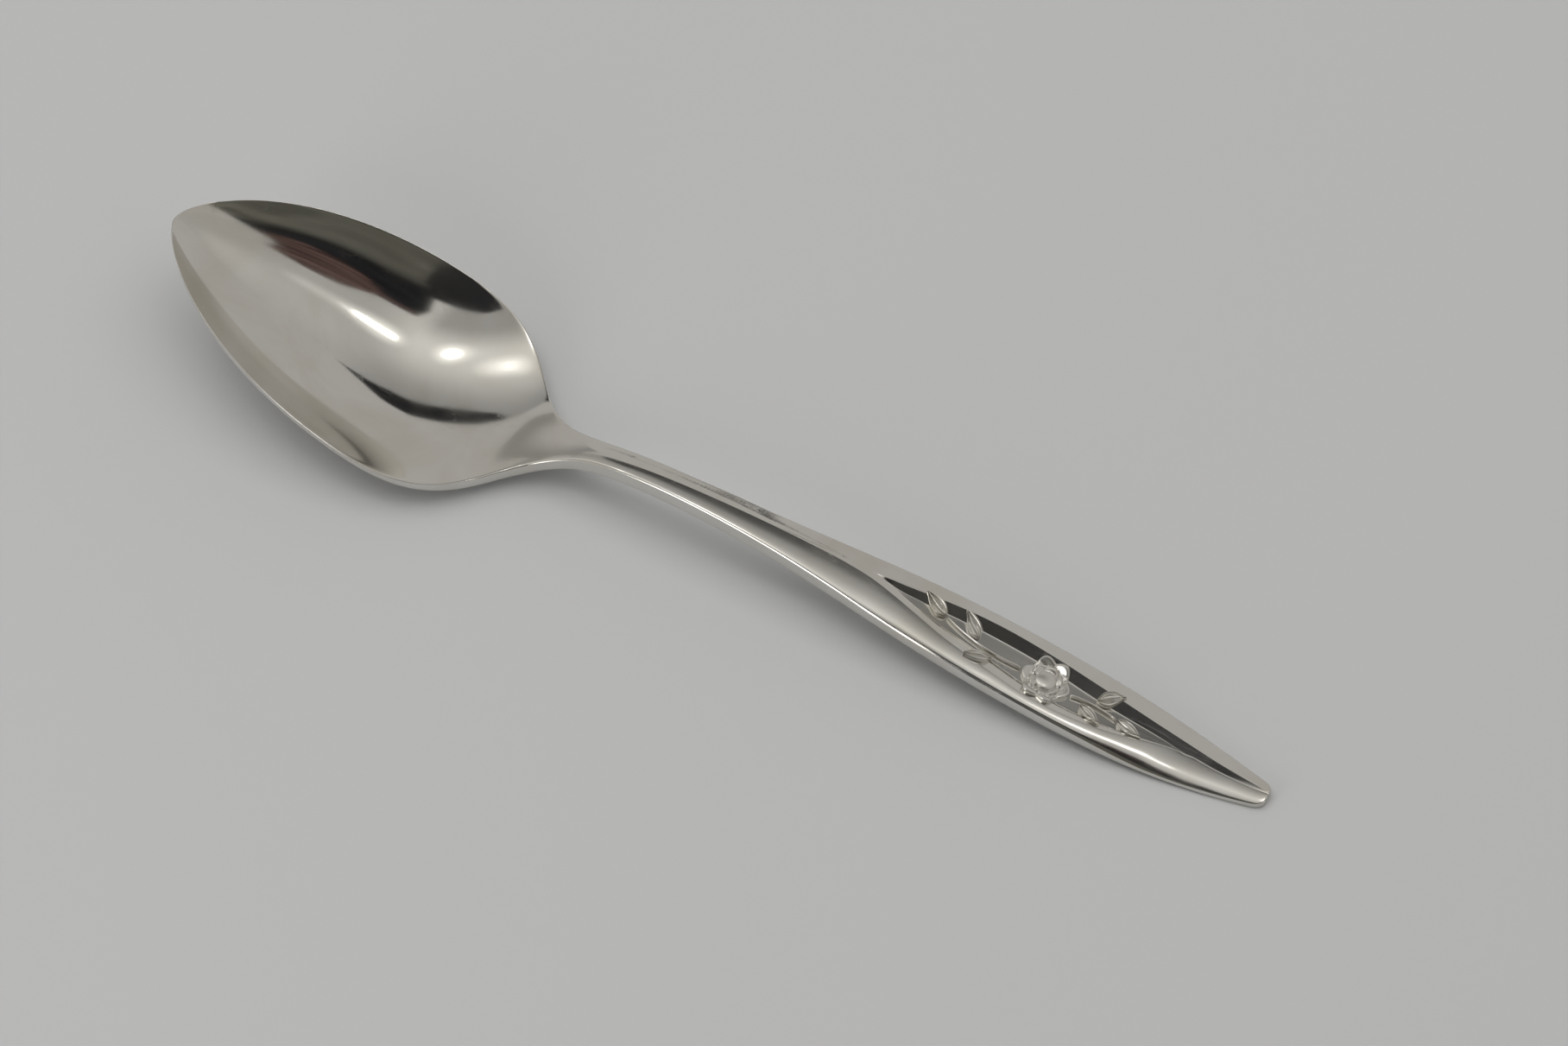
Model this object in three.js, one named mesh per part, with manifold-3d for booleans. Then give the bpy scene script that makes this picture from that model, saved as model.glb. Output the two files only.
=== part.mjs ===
// Coffee spoon with a pointed bowl and a leaf-shaped ornament panel near the end of its handle.
// Millimetres, +X from the bowl's tip to the handle's end, +Z up, standing on z = 0.
// The origin lies on the table under the middle of the spoon's length.
// Distances along the spoon are measured from the bowl's tip.
import * as THREE from 'three';
import { mergeVertices } from 'three/addons/utils/BufferGeometryUtils.js';
import Module from 'manifold-3d';

const wasm = await Module();
wasm.setup();

// Outline seen from above
const SPOON_LENGTH = 116;
const BOWL_WIDTH = 23.4;
const BOWL_WIDEST_AT = 25.5;
const TIP_FULLNESS = 2.3;
const FRONT_TAPER = 17.3;
const SHOULDER_REACH = 12.4;
const NECK_AT = 47;
const NECK_WIDTH = 2.8;
const NECK_SWEEP = 12;
const HANDLE_WIDTH = 7.5;
const HANDLE_WIDEST_AT = 92.5;
const HANDLE_SWELL_START = 26;
const HANDLE_SWELL_END = 18.5;
const HANDLE_TAPER = 8;
const END_WIDTH = 2.6;
const END_CORNER = 0.7;
const END_TAPER = 8.8;
const END_SPREAD = 2.05;

// Height of the upper edge above the table
const TIP_HEIGHT = 12.1;
const TIP_LEVEL_RUN = 6.7;
const SHOULDER_AT = 36;
const SHOULDER_HEIGHT = 2.56;
const SHOULDER_FALL_RUN = 1.8;
const SHOULDER_RISE_RUN = 6.8;
const ARCH_AT = 55.2;
const ARCH_HEIGHT = 6.64;
const ARCH_RISE_RUN = 13.6;
const ARCH_FALL_RUN = 21.8;
const END_HEIGHT = 0.93;
const END_LEVEL_RUN = 14;
const END_DIP = 0.8;

// Underside of the bowl along its middle line
const BELLY_AT = 27;
const BELLY_FLAT = 0.1;
const BELLY_FRONT_RUN = 11;
const BELLY_BACK_RUN = 8.5;
const TIP_UNDERCUT_RUN = 7;
const TIP_UNDERCUT_DROP = 6.2;
const NECK_UNDER_RUN = 4.5;

// Thickness of the edge and of the middle of the section
const RIM_EDGE = 0.9;
const NECK_EDGE = 1.55;
const HANDLE_EDGE = 1.15;
const END_EDGE = 0.8;
const FLOOR_THICKNESS = 1;
const NECK_CREST = 0.35;
const HANDLE_CREST = 0.42;
const END_CREST = 0.3;
const UNDERSIDE_CROWN = 0.15;

// Roundness of the section, as the power of the distance from the middle line
const BOWL_ROUNDNESS = 2.3;
const HANDLE_ROUNDNESS = 1.7;
const UNDERSIDE_ROUNDNESS = 2.3;

// Leaf-shaped panel sunk into the handle; near is -Y and far is +Y
const PANEL_START_AT = 75.5;
const PANEL_START_OFFSET = 1.2;
const PANEL_END_AT = 106.5;
const PANEL_END_OFFSET = -0.1;
const PANEL_SINK = 0.25;
const PANEL_WIDEST_SHIFT = 1;
const NEAR_RIBBON = 0.85;
const FAR_RIBBON = 1.25;
const PANEL_POINT_RUN = 5;
const PANEL_SIDE_RUN = 9;
const PANEL_TAPER_RUN = 7;
const PANEL_END_RUN = 3.5;

// Ornament on the panel's floor: a rosette and two leafy sprigs
const PLATE_THICKNESS = 0.45;
const ORNAMENT_CLEARANCE = 0.3;
const PETALS = 6;
const PETAL_NOTCH = 0.16;
const HEART_SHARE = 0.42;
const HEART_HEIGHT = 0.26;
const STEM_WIDTH = 0.4;
const STEM_BOW = 0.5;
const SPRIG_LEAD = 4.5;
const LEAF_LENGTH = 2.7;
const LEAF_WIDTH = 1.15;
const LEAF_ANGLE = 28;
const LEAF_BELLY_SHARE = 0.4;
const LEAF_GAP = 0.12;

// Film of solder between pieces that are joined face to face
const SOLDER_FILM = 0.05;

// Fineness of the facets
const BOWL_STEPS = 14;
const HANDLE_STEPS = 16;
const CORNER_STEPS = 3;
const SECTION_STEPS = 12;
const OUTLINE_STEPS = 10;
const ROUND_STEPS = 36;
const DOME_STEPS = 5;
const TIP_START = 0.07;
const BISECTIONS = 40;
const SLOPE_STEP = 1;
const MERGE_DISTANCE = 1e-4;

const steel = new THREE.MeshStandardMaterial({ color: 0xc6c4be, metalness: 1, roughness: 0.16 });
const reliefSteel = new THREE.MeshStandardMaterial({ color: 0xbdbbb4, metalness: 1, roughness: 0.24 });

const fromTip = (distance) => distance - SPOON_LENGTH / 2;
const point = ([x, y]) => new THREE.Vector2(x, y);

// A chain of cubic curves; each row gives the four points of one curve.
function chain(rows) {
  const path = new THREE.CurvePath();
  rows.forEach((row) => path.add(new THREE.CubicBezierCurve(...row.map(point))));
  return path;
}

// Reads a chain that runs along the spoon as a height at one distance from the tip.
function heightAt(path, distance) {
  const curve = path.curves.find((each) => distance <= each.v3.x) ?? path.curves.at(-1);
  let low = 0;
  let high = 1;
  for (let step = 0; step < BISECTIONS; step += 1) {
    const middle = (low + high) / 2;
    if (curve.getPoint(middle).x < distance) {
      low = middle;
    } else {
      high = middle;
    }
  }
  return curve.getPoint(high).y;
}

// Eases a size from one place to the next; each row gives a place and the size there.
function easeAt(rows, distance) {
  const next = rows.findIndex(([place]) => distance <= place);
  if (next === 0) {
    return rows[0][1];
  }
  if (next < 0) {
    return rows.at(-1)[1];
  }
  const [startPlace, startSize] = rows[next - 1];
  const [endPlace, endSize] = rows[next];
  return THREE.MathUtils.lerp(startSize, endSize, THREE.MathUtils.smoothstep(distance, startPlace, endPlace));
}

// Half of the outline, from the tip along the bowl, neck and handle to the rounded end
const endCornerAt = SPOON_LENGTH - END_CORNER;
const halfBowl = BOWL_WIDTH / 2;
const halfNeck = NECK_WIDTH / 2;
const halfHandle = HANDLE_WIDTH / 2;
const halfEnd = END_WIDTH / 2;
const outline = chain([
  [[0, 0], [0, TIP_FULLNESS], [BOWL_WIDEST_AT - FRONT_TAPER, halfBowl], [BOWL_WIDEST_AT, halfBowl]],
  [[BOWL_WIDEST_AT, halfBowl], [BOWL_WIDEST_AT + SHOULDER_REACH, halfBowl], [NECK_AT - NECK_SWEEP, halfNeck],
    [NECK_AT, halfNeck]],
  [[NECK_AT, halfNeck], [NECK_AT + HANDLE_SWELL_START, halfNeck],
    [HANDLE_WIDEST_AT - HANDLE_SWELL_END, halfHandle], [HANDLE_WIDEST_AT, halfHandle]],
  [[HANDLE_WIDEST_AT, halfHandle], [HANDLE_WIDEST_AT + HANDLE_TAPER, halfHandle],
    [endCornerAt - END_TAPER, halfEnd + END_SPREAD], [endCornerAt, halfEnd]],
  [[endCornerAt, halfEnd], [SPOON_LENGTH - END_CORNER / 2, halfEnd - END_CORNER / 4],
    [SPOON_LENGTH, halfEnd - END_CORNER / 2], [SPOON_LENGTH, halfEnd - END_CORNER]],
]);
const [FRONT, BACK, SWELL, TAPER, CORNER] = outline.curves;

// Upper edge seen from the side: falling rim, low shoulder, arched handle
const edge = chain([
  [[0, TIP_HEIGHT], [TIP_LEVEL_RUN, TIP_HEIGHT], [SHOULDER_AT - SHOULDER_FALL_RUN, SHOULDER_HEIGHT],
    [SHOULDER_AT, SHOULDER_HEIGHT]],
  [[SHOULDER_AT, SHOULDER_HEIGHT], [SHOULDER_AT + SHOULDER_RISE_RUN, SHOULDER_HEIGHT],
    [ARCH_AT - ARCH_RISE_RUN, ARCH_HEIGHT], [ARCH_AT, ARCH_HEIGHT]],
  [[ARCH_AT, ARCH_HEIGHT], [ARCH_AT + ARCH_FALL_RUN, ARCH_HEIGHT],
    [SPOON_LENGTH - END_LEVEL_RUN, END_HEIGHT - END_DIP], [SPOON_LENGTH, END_HEIGHT]],
]);

const edgeThicknessAt = (distance) => easeAt([
  [BOWL_WIDEST_AT, RIM_EDGE], [NECK_AT, NECK_EDGE], [HANDLE_WIDEST_AT, HANDLE_EDGE], [SPOON_LENGTH, END_EDGE],
], distance);
const crestAt = (distance) => easeAt([
  [NECK_AT, NECK_CREST], [HANDLE_WIDEST_AT, HANDLE_CREST], [SPOON_LENGTH, END_CREST],
], distance);
const undersideAt = (distance) => heightAt(edge, distance) - edgeThicknessAt(distance) - UNDERSIDE_CROWN;

// Middle line of the bowl's underside, from the tip over the belly to the neck
const neckSlope = (undersideAt(NECK_AT + SLOPE_STEP) - undersideAt(NECK_AT - SLOPE_STEP)) / (2 * SLOPE_STEP);
const belly = chain([
  [[0, TIP_HEIGHT - RIM_EDGE], [TIP_UNDERCUT_RUN, TIP_HEIGHT - RIM_EDGE - TIP_UNDERCUT_DROP],
    [BELLY_AT - BELLY_FRONT_RUN, -BELLY_FLAT], [BELLY_AT, -BELLY_FLAT]],
  [[BELLY_AT, -BELLY_FLAT], [BELLY_AT + BELLY_BACK_RUN, -BELLY_FLAT],
    [NECK_AT - NECK_UNDER_RUN, undersideAt(NECK_AT) - NECK_UNDER_RUN * neckSlope],
    [NECK_AT, undersideAt(NECK_AT)]],
]);
const keelAt = (distance) => (distance < NECK_AT ? heightAt(belly, distance) : undersideAt(distance));
const neckThickness = NECK_EDGE + NECK_CREST + UNDERSIDE_CROWN;
const middleThicknessAt = (distance) => (distance < NECK_AT
  ? easeAt([[0, RIM_EDGE], [BELLY_AT, FLOOR_THICKNESS], [NECK_AT, neckThickness]], distance)
  : edgeThicknessAt(distance) + crestAt(distance) + UNDERSIDE_CROWN);
const roundnessAt = (distance) => easeAt([[BELLY_AT, BOWL_ROUNDNESS], [NECK_AT, HANDLE_ROUNDNESS]], distance);

// One closed section across the spoon: the upper face, then the underside.
function sectionAt(distance, halfWidth) {
  const edgeHeight = heightAt(edge, distance);
  const lowEdge = edgeHeight - edgeThicknessAt(distance);
  const keel = keelAt(distance);
  const middle = keel + middleThicknessAt(distance);
  const roundness = roundnessAt(distance);
  const ring = [];
  for (let step = 0; step <= SECTION_STEPS; step += 1) {
    const across = (2 * step) / SECTION_STEPS - 1;
    const fall = Math.abs(across) ** roundness;
    ring.push([halfWidth * across, THREE.MathUtils.lerp(middle, edgeHeight, fall)]);
  }
  for (let step = SECTION_STEPS; step >= 0; step -= 1) {
    const across = (2 * step) / SECTION_STEPS - 1;
    const fall = Math.abs(across) ** UNDERSIDE_ROUNDNESS;
    ring.push([halfWidth * across, THREE.MathUtils.lerp(keel, lowEdge, fall)]);
  }
  return ring;
}

// Joins a row of sections into one closed body with flat ends.
function loft(stations) {
  const rings = stations.map(({ distance, halfWidth }) => sectionAt(distance, halfWidth));
  const count = rings[0].length;
  const positions = rings.flatMap((ring, row) => {
    const x = fromTip(stations[row].distance);
    return ring.flatMap(([y, z]) => [x, y, z]);
  });
  const indices = [];
  for (let row = 0; row + 1 < rings.length; row += 1) {
    for (let side = 0; side < count; side += 1) {
      const near = row * count + side;
      const beside = row * count + ((side + 1) % count);
      indices.push(near, near + count, beside, beside, near + count, beside + count);
    }
  }
  const last = (rings.length - 1) * count;
  for (let side = 0; side < SECTION_STEPS; side += 1) {
    const below = count - 1 - side;
    indices.push(side, side + 1, below, side + 1, below - 1, below);
    indices.push(last + side, last + below, last + side + 1, last + side + 1, last + below, last + below - 1);
  }
  const geometry = new THREE.BufferGeometry();
  geometry.setAttribute('position', new THREE.Float32BufferAttribute(positions, 3));
  geometry.setIndex(indices);
  return geometry;
}

// Stations along a curve of the outline, evenly spaced in the curve's own measure.
function stationsAlong(curve, steps, start = 0) {
  return Array.from({ length: steps + 1 }, (_, step) => {
    const { x, y } = curve.getPoint(THREE.MathUtils.lerp(start, 1, step / steps));
    return { distance: x, halfWidth: y };
  });
}

// Booleans on closed geometries
function toSolid(geometry) {
  const bare = geometry.clone();
  bare.deleteAttribute('normal');
  bare.deleteAttribute('uv');
  const merged = mergeVertices(bare, MERGE_DISTANCE);
  const vertProperties = merged.attributes.position.array;
  return new wasm.Manifold(new wasm.Mesh({
    numProp: 3,
    vertProperties,
    triVerts: new Uint32Array(merged.index.array),
  }));
}

function toGeometry(solid) {
  const { vertProperties, triVerts } = solid.getMesh();
  const geometry = new THREE.BufferGeometry();
  geometry.setAttribute('position', new THREE.BufferAttribute(vertProperties, 3));
  geometry.setIndex(new THREE.BufferAttribute(triVerts, 1));
  geometry.computeVertexNormals();
  return geometry;
}

// Everything below the table top, which leaves flat places to rest on
const belowTable = new THREE.BoxGeometry(SPOON_LENGTH, BOWL_WIDTH, TIP_HEIGHT);
belowTable.translate(0, 0, -TIP_HEIGHT / 2);
const tableCut = toSolid(belowTable);

// The tip is slightly blunt: its first section already has a width.
function makeBowl() {
  const front = stationsAlong(FRONT, BOWL_STEPS, TIP_START);
  front[0].distance = 0;
  const back = stationsAlong(BACK, BOWL_STEPS).slice(1, -1);
  const joint = { distance: NECK_AT - SOLDER_FILM / 2, halfWidth: halfNeck };
  return toGeometry(toSolid(loft([...front, ...back, joint])).subtract(tableCut));
}

// The panel's floor is one flat slope, from its start to its end.
const floorStart = heightAt(edge, PANEL_START_AT) - PANEL_SINK;
const floorEnd = heightAt(edge, PANEL_END_AT) - PANEL_SINK;
const floorTilt = Math.atan2(floorStart - floorEnd, PANEL_END_AT - PANEL_START_AT);
const panelWidestAt = HANDLE_WIDEST_AT + PANEL_WIDEST_SHIFT;
const nearReach = halfHandle - NEAR_RIBBON;
const farReach = halfHandle - FAR_RIBBON;

// Puts a shape drawn in plan, thickened upwards, on the slope of the panel's floor.
function onFloor(geometry, lift) {
  const matrix = new THREE.Matrix4().makeRotationY(floorTilt);
  matrix.setPosition(fromTip(PANEL_START_AT), 0, floorStart);
  geometry.translate(-PANEL_START_AT, 0, lift);
  return geometry.applyMatrix4(matrix);
}

const nearSide = chain([
  [[PANEL_START_AT, PANEL_START_OFFSET], [PANEL_START_AT + PANEL_POINT_RUN, 0],
    [panelWidestAt - PANEL_SIDE_RUN, -nearReach], [panelWidestAt, -nearReach]],
  [[panelWidestAt, -nearReach], [panelWidestAt + PANEL_TAPER_RUN, -nearReach],
    [PANEL_END_AT - PANEL_END_RUN, PANEL_END_OFFSET - halfEnd / 2], [PANEL_END_AT, PANEL_END_OFFSET]],
]);
const farSide = chain([
  [[PANEL_START_AT, PANEL_START_OFFSET], [PANEL_START_AT + PANEL_POINT_RUN, farReach],
    [panelWidestAt - PANEL_SIDE_RUN, farReach], [panelWidestAt, farReach]],
  [[panelWidestAt, farReach], [panelWidestAt + PANEL_TAPER_RUN, farReach],
    [PANEL_END_AT - PANEL_END_RUN, PANEL_END_OFFSET + halfEnd], [PANEL_END_AT, PANEL_END_OFFSET]],
]);

function extrude(points, thickness) {
  return new THREE.ExtrudeGeometry(new THREE.Shape(points), { depth: thickness, bevelEnabled: false });
}

function makeHandle() {
  const joint = { distance: NECK_AT + SOLDER_FILM / 2, halfWidth: halfNeck };
  const swell = stationsAlong(SWELL, HANDLE_STEPS).slice(1);
  const taper = stationsAlong(TAPER, HANDLE_STEPS).slice(1);
  const corner = stationsAlong(CORNER, CORNER_STEPS).slice(1);
  const nearPoints = nearSide.curves.flatMap((curve) => curve.getPoints(OUTLINE_STEPS).slice(0, -1));
  const farPoints = farSide.curves.flatMap((curve) => curve.getPoints(OUTLINE_STEPS).slice(1)).reverse();
  const panel = extrude([...nearPoints, ...farPoints], ARCH_HEIGHT);
  const body = toSolid(loft([joint, ...swell, ...taper, ...corner]));
  return toGeometry(body.subtract(toSolid(onFloor(panel, 0))).subtract(tableCut));
}

// The rosette fills the panel at its widest place, clear of both walls.
const rosetteRadius = (nearReach + farReach) / 2 - ORNAMENT_CLEARANCE;
const rosetteOffset = (farReach - nearReach) / 2;
const heartRadius = rosetteRadius * HEART_SHARE;

function makePetals() {
  const points = Array.from({ length: ROUND_STEPS }, (_, step) => {
    const turn = (2 * Math.PI * step) / ROUND_STEPS;
    const reach = rosetteRadius * (1 - PETAL_NOTCH * (0.5 - 0.5 * Math.cos(PETALS * turn)));
    return point([panelWidestAt + reach * Math.cos(turn), rosetteOffset + reach * Math.sin(turn)]);
  });
  return onFloor(extrude(points, PLATE_THICKNESS), SOLDER_FILM);
}

function makeHeart() {
  const profile = Array.from({ length: DOME_STEPS + 1 }, (_, step) => {
    const rise = (Math.PI / 2) * (step / DOME_STEPS);
    return point([heartRadius * Math.cos(rise), HEART_HEIGHT * Math.sin(rise)]);
  });
  profile[DOME_STEPS].x = 0;
  const dome = new THREE.LatheGeometry([point([0, 0]), ...profile], ROUND_STEPS);
  dome.rotateX(Math.PI / 2);
  dome.translate(panelWidestAt, rosetteOffset, 0);
  return onFloor(dome, PLATE_THICKNESS + 2 * SOLDER_FILM);
}

// Each sprig's stem bows from the rosette towards one end of the panel.
const stemGap = rosetteRadius + LEAF_GAP;
const stems = {
  front: new THREE.QuadraticBezierCurve(
    point([panelWidestAt - stemGap, rosetteOffset]),
    point([panelWidestAt - stemGap - SPRIG_LEAD, rosetteOffset - STEM_BOW]),
    point([PANEL_START_AT + SPRIG_LEAD + LEAF_LENGTH, PANEL_START_OFFSET - STEM_BOW]),
  ),
  back: new THREE.QuadraticBezierCurve(
    point([panelWidestAt + stemGap, rosetteOffset]),
    point([panelWidestAt + stemGap + SPRIG_LEAD / 2, rosetteOffset + STEM_BOW]),
    point([PANEL_END_AT - SPRIG_LEAD - LEAF_LENGTH / 2, rosetteOffset]),
  ),
};

function sideways(curve, share) {
  const { x, y } = curve.getTangent(share);
  return new THREE.Vector2(-y, x);
}

function makeStem(curve) {
  const shares = Array.from({ length: OUTLINE_STEPS + 1 }, (_, step) => step / OUTLINE_STEPS);
  const edgePoint = (share, side) => curve.getPoint(share)
    .addScaledVector(sideways(curve, share), (side * STEM_WIDTH) / 2);
  const left = shares.map((share) => edgePoint(share, 1));
  const right = shares.map((share) => edgePoint(share, -1)).reverse();
  return onFloor(extrude([...left, ...right], PLATE_THICKNESS), SOLDER_FILM);
}

// Leaf places along the stems: the stem, the share of its length, and the side; 0 ends the sprig.
const leafPlaces = [
  ['front', 0.3, 1],
  ['front', 0.55, -1],
  ['front', 1, 0],
  ['back', 0.25, -1],
  ['back', 0.5, 1],
  ['back', 1, 0],
];

function makeLeaf([stem, share, side]) {
  const curve = stems[stem];
  const along = curve.getTangent(share);
  const turn = THREE.MathUtils.degToRad(LEAF_ANGLE) * side;
  const heading = along.clone().rotateAround(new THREE.Vector2(), turn);
  const across = new THREE.Vector2(-heading.y, heading.x);
  const base = curve.getPoint(share)
    .addScaledVector(sideways(curve, share), side * (STEM_WIDTH / 2 + LEAF_GAP + LEAF_WIDTH / 4))
    .addScaledVector(along, side === 0 ? LEAF_GAP : 0);
  const tip = base.clone().addScaledVector(heading, LEAF_LENGTH);
  const belly = base.clone().lerp(tip, LEAF_BELLY_SHARE);
  const bulge = (amount) => belly.clone().addScaledVector(across, amount * LEAF_WIDTH);
  const left = new THREE.QuadraticBezierCurve(base, bulge(1), tip).getPoints(OUTLINE_STEPS);
  const right = new THREE.QuadraticBezierCurve(tip, bulge(-1), base).getPoints(OUTLINE_STEPS);
  return onFloor(extrude([...left.slice(0, -1), ...right.slice(0, -1)], PLATE_THICKNESS), SOLDER_FILM);
}

const spoon = new THREE.Group();

function addPiece(name, geometry, material) {
  const mesh = new THREE.Mesh(geometry, material);
  mesh.name = name;
  spoon.add(mesh);
}

addPiece('bowl', makeBowl(), steel);
addPiece('handle', makeHandle(), steel);
addPiece('rosette_petals', makePetals(), reliefSteel);
addPiece('rosette_heart', makeHeart(), reliefSteel);
Object.entries(stems).forEach(([name, curve]) => addPiece(`${name}_stem`, makeStem(curve), reliefSteel));
leafPlaces.forEach((place, index) => addPiece(`leaf_${index + 1}`, makeLeaf(place), reliefSteel));

export default spoon;
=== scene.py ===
# Coffee spoon with a pointed bowl, a ridged handle and a struck ornament in a sunken leaf-shaped panel.
# The sizes are in millimetres and are turned to metres as the points are placed.
# Distances run from the bowl's tip to the handle's end; near is -Y and far is +Y.
import math

import bpy
import numpy as np
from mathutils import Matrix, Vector


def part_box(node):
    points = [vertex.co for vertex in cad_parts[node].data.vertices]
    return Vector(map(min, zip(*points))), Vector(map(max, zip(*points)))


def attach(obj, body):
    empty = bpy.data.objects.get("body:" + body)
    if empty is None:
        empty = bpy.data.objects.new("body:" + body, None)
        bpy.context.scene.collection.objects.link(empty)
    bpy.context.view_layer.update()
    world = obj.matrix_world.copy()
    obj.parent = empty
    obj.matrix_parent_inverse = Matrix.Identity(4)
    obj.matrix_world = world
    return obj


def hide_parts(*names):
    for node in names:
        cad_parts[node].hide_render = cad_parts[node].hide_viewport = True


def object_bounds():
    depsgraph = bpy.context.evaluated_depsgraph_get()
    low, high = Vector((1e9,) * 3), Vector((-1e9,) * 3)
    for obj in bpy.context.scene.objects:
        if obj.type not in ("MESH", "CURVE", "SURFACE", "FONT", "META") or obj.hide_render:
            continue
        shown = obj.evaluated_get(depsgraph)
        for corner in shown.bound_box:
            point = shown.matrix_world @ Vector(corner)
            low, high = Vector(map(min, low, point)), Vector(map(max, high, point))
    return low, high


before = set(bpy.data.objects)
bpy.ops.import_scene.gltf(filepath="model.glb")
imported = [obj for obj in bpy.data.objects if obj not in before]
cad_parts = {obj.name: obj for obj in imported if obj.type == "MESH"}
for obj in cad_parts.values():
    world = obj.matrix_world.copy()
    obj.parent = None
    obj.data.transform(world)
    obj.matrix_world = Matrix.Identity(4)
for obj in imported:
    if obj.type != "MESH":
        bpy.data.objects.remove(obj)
cad_low, cad_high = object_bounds()

MM = 0.001
CURVE_STEPS = 600
LEAST_HALF_WIDTH = 0.001

# Main sizes, read from the frame
_, bowl_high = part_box("bowl")
handle_low, handle_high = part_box("handle")
SPOON_LENGTH = (cad_high.x - cad_low.x) / MM
HALF_BOWL = bowl_high.y / MM
HALF_HANDLE = handle_high.y / MM
NECK_PLANE = (bowl_high.x + handle_low.x) / 2
NECK_AT = NECK_PLANE / MM + SPOON_LENGTH / 2

# Outline seen from above
BOWL_WIDEST_AT = 25.5
TIP_FULLNESS = 2.3
FRONT_TAPER = 17.3
SHOULDER_REACH = 12.4
HALF_NECK = 1.4
NECK_SWEEP = 12
HANDLE_WIDEST_AT = 92.5
HANDLE_SWELL_START = 26
HANDLE_SWELL_END = 18.5
HANDLE_TAPER = 8
HALF_END = 1.3
END_CORNER = 0.7
END_TAPER = 8.8
END_SPREAD = 2.05

# Height of the upper edge above the table
TIP_HEIGHT = 12.1
TIP_LEVEL_RUN = 6.7
SHOULDER_AT = 36
SHOULDER_HEIGHT = 2.56
SHOULDER_FALL_RUN = 1.8
SHOULDER_RISE_RUN = 6.8
ARCH_AT = 55.2
ARCH_HEIGHT = 6.64
ARCH_RISE_RUN = 13.6
ARCH_FALL_RUN = 21.8
END_HEIGHT = 0.93
END_LEVEL_RUN = 14
END_DIP = 0.8

# Underside and thickness
BELLY_AT = 27
BELLY_FRONT_RUN = 11
BELLY_BACK_RUN = 8.5
TIP_UNDERCUT_RUN = 7
TIP_UNDERCUT_DROP = 6.2
NECK_UNDER_RUN = 4.5
RIM_EDGE = 0.9
NECK_EDGE = 1.55
HANDLE_EDGE = 1.15
END_EDGE = 0.8
FRONT_THICKNESS = (13, 2.0)
FLOOR_THICKNESS = 0.85
SHOULDER_THICKNESS = 0.95
NECK_CREST = 0.35
UNDERSIDE_CROWN = 0.15
BOWL_ROUNDNESS = 2.3
NECK_ROUNDNESS = 1.7
UNDERSIDE_ROUNDNESS = 2.3

# Lines that run along the handle: the place along the spoon, then the offset from its middle line
RIDGE_LINE = [(40, -0.4), (47.5, -0.25), (50, -0.15), (56, 0.08), (62, 0.28), (68, 0.42), (73, 0.42),
              (75.5, 0.2), (77, -0.08), (80, -0.75), (83, -1.45), (86, -1.95), (89.5, -2.4), (92, -2.65),
              (95, -2.6), (98, -2.3), (101, -1.7), (104, -0.7), (107, 0), (110, 0.1), (113, 0.15), (116, 0.2)]
FAR_RIM_LINE = [(40, 0.5), (60, 0.8), (75.5, 1.1), (80, 1.7), (83, 2.1), (86, 2.35), (90, 2.45), (94, 2.3),
                (98, 1.95), (101, 1.68), (104, 1.35), (107, 1.0), (110, 0.65), (113, 0.45), (116, 0.3)]

# Widths beside those lines: the strip behind the ridge, the panel's near wall and its far wall
STRIP_WIDTH = [(40, 0.35), (70, 0.4), (75.5, 0.93), (79, 0.62), (82, 0.7), (85, 0.82), (92, 0.8), (98, 0.55),
               (101, 0.45), (103.5, 0.15), (107, 0.05), (116, 0.04)]
NEAR_WALL = [(40, 0.15), (75.5, 0.05), (80, 0.22), (100, 0.22), (107, 0.1), (116, 0.05)]
FAR_WALL = [(40, 0.04), (75, 0.04), (77.5, 0.5), (80, 0.75), (86, 1.0), (94, 1.05), (98, 1.08), (101, 1.0),
            (104, 0.85), (107, 0.8), (110, 0.7), (113, 0.5), (116, 0.1)]
LEAST_GAP = 0.04

# Heights above the handle's edges
RIDGE_HEIGHT = [(40, 0.2), (56, 0.3), (66, 0.38), (76, 0.44), (94, 0.46), (101, 0.42), (104, 0.32),
                (107, 0.2), (110, 0.2), (113, 0.18), (116, 0.08)]
PANEL_FLOOR = [(70, 0.3), (75.5, 0.25), (77.5, -0.1), (80, -0.2), (86, -0.22), (93, -0.26), (97, -0.24),
               (101, -0.13), (105, 0.04), (109, 0.16), (113, 0.16), (116, 0.07)]
PANEL_OPENING = [(75, 0), (76.5, 1)]
PANEL_TILT = 0.036
STRIP_SLOPE = 0.2
FAR_WALL_SLOPE = 0.73

# Near side of the handle: its slope down at the ridge, and how much and how late it turns down to the edge
RIDGE_FALL = [(41, 0.02), (48, 0.045), (104, 0.045), (107, 0.03)]
NEAR_TURN = [(40, 0.2), (50, 0.2), (56, 0.18), (62, 0.23), (68, 0.25), (73, 0.3), (77, 0.45), (80, 0.56),
             (86, 0.6), (98, 0.68), (101, 0.85), (110, 0.8), (113, 0.68), (116, 0.5)]
NEAR_LATENESS = [(40, 1.2), (50, 1.3), (56, 2), (62, 2.8), (73, 2.4), (80, 2.2), (83, 2), (86, 1.5),
                 (89.5, 1), (98, 1), (101, 1.3), (104, 1.6), (107, 2.6), (110, 2.6), (113, 2), (116, 1.5)]

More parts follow.
